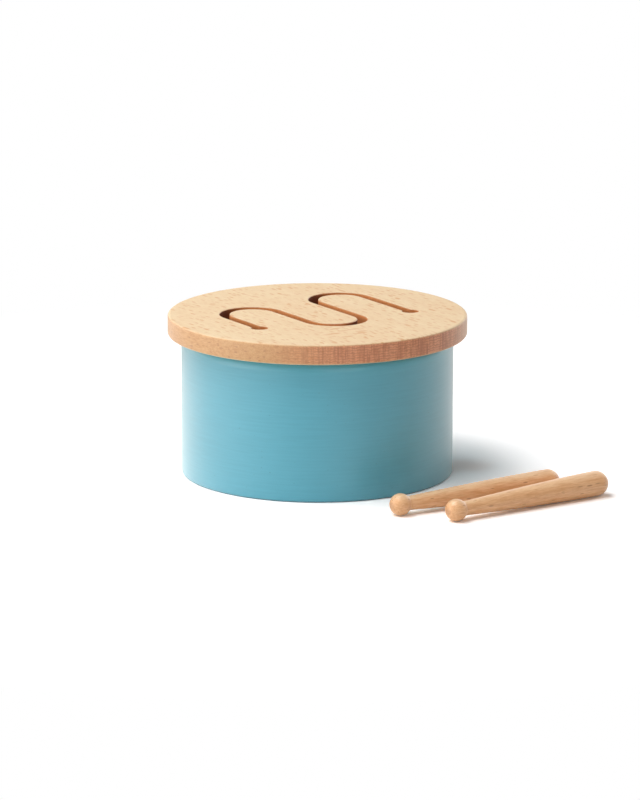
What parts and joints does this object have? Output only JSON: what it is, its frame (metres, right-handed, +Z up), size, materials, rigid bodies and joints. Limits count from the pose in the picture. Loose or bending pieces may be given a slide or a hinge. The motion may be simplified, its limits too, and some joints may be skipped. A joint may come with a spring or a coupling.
{
  "type": "tongue drum",
  "caption": "Round wooden tongue drum: a thick disc with a snaking slot on a painted drum shell, with a pair of turned wooden beaters.",
  "frame": {"origin": "centre of the shell's lower rim, on the surface that the drum stands on", "axes": "+Z up along the drum's axis; the tongues run along Y, with the beaters lying on the -Y side"},
  "size_m": [0.2035, 0.244, 0.0968],
  "materials": {
    "beech_disc": "pale beech, sanded, matt oil",
    "turquoise_paint": "satin turquoise paint on bent plywood",
    "bare_ring_wood": "bare",
    "birch_plywood": "bare, sanded",
    "screw_steel": "zinc plated",
    "dowel_wood": "bare",
    "beater_beech": "turned beech, sanded, clear satin"
  },
  "bodies": {
    "drum": {"tongue_board": "beech_disc", "shell": "turquoise_paint", "top_ring": "bare_ring_wood", "base_ring": "bare_ring_wood", "base_board": "birch_plywood", "base_screws": "screw_steel", "top_dowels": "dowel_wood"},
    "front_beater": {"front_beater": "beater_beech"},
    "rear_beater": {"rear_beater": "beater_beech"}
  },
  "joints": [
    {"name": "front_beater_lift", "type": "slide", "parent": "drum", "child": "front_beater", "axis": [0, 0, 1], "range_m": [0, 0.15]},
    {"name": "rear_beater_lift", "type": "slide", "parent": "drum", "child": "rear_beater", "axis": [0, 0, 1], "range_m": [0, 0.15]}
  ]
}
